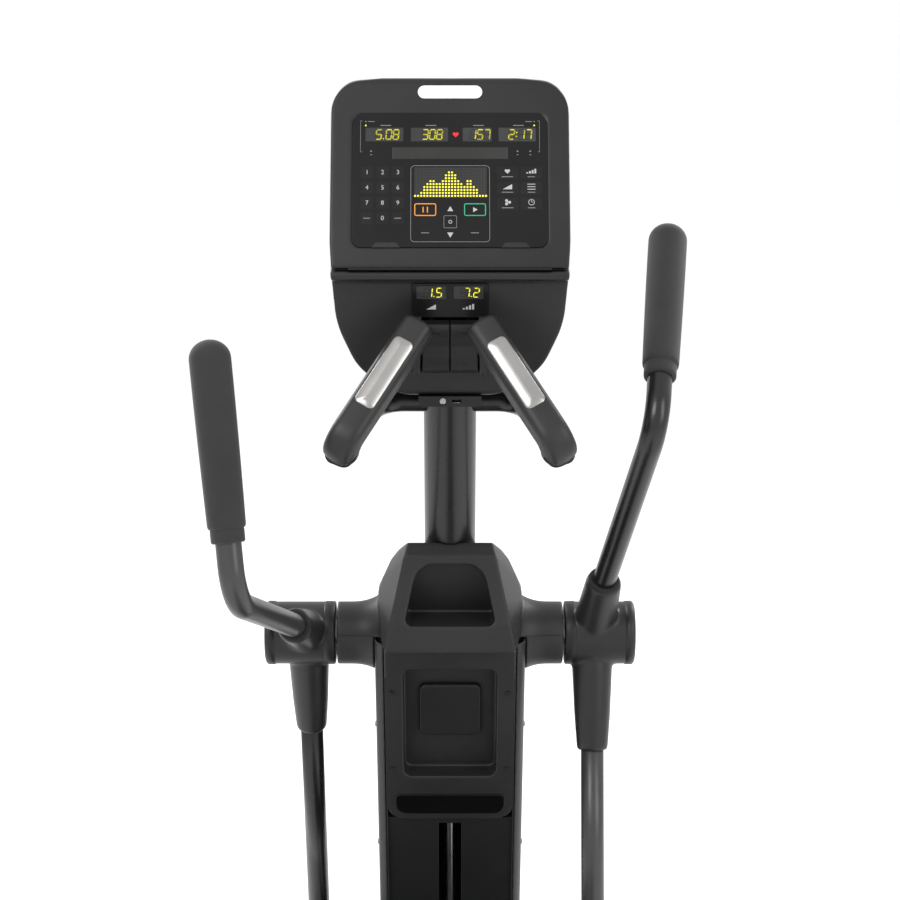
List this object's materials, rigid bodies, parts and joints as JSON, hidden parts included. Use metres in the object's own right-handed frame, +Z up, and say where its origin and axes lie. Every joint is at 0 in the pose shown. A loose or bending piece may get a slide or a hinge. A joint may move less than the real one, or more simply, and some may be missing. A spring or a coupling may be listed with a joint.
{
  "type": "elliptical trainer",
  "caption": "Rear-drive elliptical trainer with swinging handles, a powered incline ramp, pedals on foot arms, a display console and fixed pulse grips.",
  "frame": {"origin": "on the floor, at the centre of the footprint", "axes": "+Z up, +Y towards the front of the machine, the way the user faces, +X to the user's right"},
  "size_m": [0.7472, 2.03, 1.8114],
  "materials": {
    "frame_paint": "satin textured powder coat",
    "black_tube": "semi-gloss black powder coat",
    "cover_plastic": "fine-textured moulded plastic",
    "cast_metal": "painted casting, satin",
    "foam_grip": "matt foam rubber",
    "gloss_window": "gloss printed overlay",
    "contact_metal": "brushed stainless",
    "board": "solder-masked board",
    "machined_steel": "turned steel",
    "track_metal": "anodised extrusion",
    "bronze": "sintered bronze",
    "rubber": "matt black rubber",
    "roller_plastic": "nylon roller",
    "motor_paint": "painted motor case"
  },
  "bodies": {
    "base": {"base_frame": "frame_paint", "levelling_feet": "rubber", "crank_bearings": "machined_steel", "resistance_brake": "motor_paint", "drive_belt": "rubber", "rear_cover_left": "cover_plastic", "rear_cover_right": "cover_plastic", "mast": "black_tube", "column_shell": "cover_plastic", "column_panel": "cover_plastic", "lower_panel": "cover_plastic", "tee_cover_upper": "cover_plastic", "tee_cover_lower": "cover_plastic", "pivot_shaft": "machined_steel", "power_inlet": "cover_plastic", "lift_motor": "motor_paint", "console_back": "cover_plastic", "console_bezel": "cover_plastic", "display_window": "gloss_window", "lower_display": "gloss_window", "circuit_board": "board", "jack_panel": "cover_plastic", "handlebar": "black_tube", "hr_grip_left": "cover_plastic", "hr_grip_right": "cover_plastic", "hr_contacts": "contact_metal"},
    "ramp": {"ramp_frame": "frame_paint", "ramp_tracks": "track_metal", "ramp_cover": "cover_plastic"},
    "lift_carriage": {"lift_carriage": "machined_steel"},
    "lead_screw": {"lead_screw": "machined_steel"},
    "crank": {"crank_axle": "machined_steel", "crank_arms": "cast_metal"},
    "flywheel": {"flywheel": "machined_steel"},
    "paddle_left": {"rocker_left": "cover_plastic"},
    "paddle_right": {"rocker_right": "cover_plastic"},
    "transport_wheel_left": {"transport_wheel_left": "rubber"},
    "transport_wheel_right": {"transport_wheel_right": "rubber"},
    "roller_axle_left": {"roller_axle_left": "machined_steel"},
    "roller_left": {"roller_left": "roller_plastic"},
    "axle_bush_left": {"axle_bush_left": "bronze"},
    "foot_arm_left": {"foot_arm_left": "frame_paint", "pedal_left": "cover_plastic"},
    "link_bush_left": {"link_bush_left": "bronze"},
    "drag_link_left": {"drag_link_left": "frame_paint"},
    "handle_left": {"arm_hub_left": "cast_metal", "upper_tube_left": "black_tube", "grip_left": "foam_grip", "lower_tube_left": "black_tube"},
    "roller_axle_right": {"roller_axle_right": "machined_steel"},
    "roller_right": {"roller_right": "roller_plastic"},
    "axle_bush_right": {"axle_bush_right": "bronze"},
    "foot_arm_right": {"foot_arm_right": "frame_paint", "pedal_right": "cover_plastic"},
    "link_bush_right": {"link_bush_right": "bronze"},
    "drag_link_right": {"drag_link_right": "frame_paint"},
    "handle_right": {"arm_hub_right": "cast_metal", "upper_tube_right": "black_tube", "grip_right": "foam_grip", "lower_tube_right": "black_tube"}
  },
  "joints": [
    {"name": "stride", "type": "slide", "parent": "ramp", "child": "roller_axle_left", "axis": [0, -0.9903, -0.1392], "range_m": [0, 0.3678]},
    {"name": "ramp_tilt", "type": "hinge", "parent": "base", "child": "ramp", "pos_m": [0, -0.42, 0.215], "axis": [1, 0, 0], "range_deg": [0, 11]},
    {"name": "stride_right", "type": "slide", "parent": "ramp", "child": "roller_axle_right", "axis": [0, 0.9903, 0.1392], "range_m": [-0.001, 0.3688]},
    {"name": "axle_bush_left_turn", "type": "hinge", "parent": "roller_axle_left", "child": "axle_bush_left", "pos_m": [0, 0.56, 0.234], "axis": [1, 0, 0], "range_deg": [-1.66, 0.3]},
    {"name": "foot_arm_left_pitch", "type": "hinge", "parent": "axle_bush_left", "child": "foot_arm_left", "pos_m": [0, 0.56, 0.234], "axis": [1, 0, 0], "range_deg": [-2.92, 0.3]},
    {"name": "roller_left_spin", "type": "hinge", "parent": "roller_axle_left", "child": "roller_left", "pos_m": [0, 0.56, 0.234], "axis": [1, 0, 0], "continuous": true},
    {"name": "link_bush_left_turn", "type": "hinge", "parent": "foot_arm_left", "child": "link_bush_left", "pos_m": [0, 0.3584, 0.24588], "axis": [1, 0, 0], "range_deg": [-0.3, 8.6]},
    {"name": "drag_link_left_pitch", "type": "hinge", "parent": "link_bush_left", "child": "drag_link_left", "pos_m": [0, 0.3584, 0.24588], "axis": [1, 0, 0], "range_deg": [-29.09, 0.3]},
    {"name": "handle_left_swing", "type": "hinge", "parent": "base", "child": "handle_left", "pos_m": [0, 0.6, 0.89], "axis": [1, 0, 0], "range_deg": [-32.7, 0.3]},
    {"name": "axle_bush_right_turn", "type": "hinge", "parent": "roller_axle_right", "child": "axle_bush_right", "pos_m": [0, 0.19581, 0.18282], "axis": [1, 0, 0], "range_deg": [-5.26, 0.3]},
    {"name": "foot_arm_right_pitch", "type": "hinge", "parent": "axle_bush_right", "child": "foot_arm_right", "pos_m": [0, 0.19581, 0.18282], "axis": [1, 0, 0], "range_deg": [-0.3, 2.92]},
    {"name": "roller_right_spin", "type": "hinge", "parent": "roller_axle_right", "child": "roller_right", "pos_m": [0, 0.19581, 0.18282], "axis": [1, 0, 0], "continuous": true},
    {"name": "link_bush_right_turn", "type": "hinge", "parent": "foot_arm_right", "child": "link_bush_right", "pos_m": [0, -0.00504, 0.20391], "axis": [1, 0, 0], "range_deg": [-8.6, 0.3]},
    {"name": "drag_link_right_pitch", "type": "hinge", "parent": "link_bush_right", "child": "drag_link_right", "pos_m": [0, -0.00504, 0.20391], "axis": [1, 0, 0], "range_deg": [-19.36, 0.3]},
    {"name": "handle_right_swing", "type": "hinge", "parent": "base", "child": "handle_right", "pos_m": [0, 0.6, 0.89], "axis": [1, 0, 0], "range_deg": [-0.3, 32.7]},
    {"name": "crank_spin", "type": "hinge", "parent": "base", "child": "crank", "pos_m": [0, -0.74, 0.3], "axis": [1, 0, 0], "continuous": true},
    {"name": "flywheel_spin", "type": "hinge", "parent": "base", "child": "flywheel", "pos_m": [0, -0.575, 0.212], "axis": [1, 0, 0], "continuous": true},
    {"name": "lift_travel", "type": "slide", "parent": "base", "child": "lift_carriage", "axis": [0, -0.2924, 0.9563], "range_m": [-0.001, 0.1988]},
    {"name": "screw_spin", "type": "hinge", "parent": "base", "child": "lead_screw", "pos_m": [0, 0.75866, 0.15215], "axis": [0, -0.2924, 0.9563], "continuous": true},
    {"name": "paddle_left_rock", "type": "hinge", "parent": "base", "child": "paddle_left", "pos_m": [0, 0.36476, 1.4235], "axis": [1, 0, 0], "range_deg": [-4, 4], "stiffness_Nm_per_rad": 1.2},
    {"name": "paddle_right_rock", "type": "hinge", "parent": "base", "child": "paddle_right", "pos_m": [0, 0.36476, 1.4235], "axis": [1, 0, 0], "range_deg": [-4, 4], "stiffness_Nm_per_rad": 1.2},
    {"name": "transport_wheel_left_spin", "type": "hinge", "parent": "base", "child": "transport_wheel_left", "pos_m": [-0.315, 0.975, 0.046], "axis": [1, 0, 0], "continuous": true},
    {"name": "transport_wheel_right_spin", "type": "hinge", "parent": "base", "child": "transport_wheel_right", "pos_m": [0.315, 0.975, 0.046], "axis": [1, 0, 0], "continuous": true}
  ],
  "couplings": [
    {"joint": "stride_right", "follows": "stride", "ratio": 1},
    {"joint": "axle_bush_left_turn", "follows": "ramp_tilt", "ratio": -0.12358},
    {"joint": "foot_arm_left_pitch", "follows": "stride", "rad_per_m": -0.12447},
    {"joint": "roller_left_spin", "follows": "stride", "rad_per_m": 28.571},
    {"joint": "link_bush_left_turn", "follows": "stride", "rad_per_m": 0.39384},
    {"joint": "drag_link_left_pitch", "follows": "ramp_tilt", "ratio": -2.6175},
    {"joint": "handle_left_swing", "follows": "stride", "rad_per_m": -1.5376},
    {"joint": "axle_bush_right_turn", "follows": "ramp_tilt", "ratio": -0.45071},
    {"joint": "foot_arm_right_pitch", "follows": "stride", "rad_per_m": 0.12447},
    {"joint": "roller_right_spin", "follows": "stride", "rad_per_m": -28.571},
    {"joint": "link_bush_right_turn", "follows": "stride", "rad_per_m": -0.39384},
    {"joint": "drag_link_right_pitch", "follows": "ramp_tilt", "ratio": -1.7325},
    {"joint": "handle_right_swing", "follows": "stride", "rad_per_m": 1.5376},
    {"joint": "crank_spin", "follows": "stride", "rad_per_m": -8.5422},
    {"joint": "flywheel_spin", "follows": "stride", "rad_per_m": -53.389},
    {"joint": "lift_travel", "follows": "ramp_tilt", "m_per_rad": 1.0253},
    {"joint": "screw_spin", "follows": "ramp_tilt", "ratio": 322.12}
  ]
}
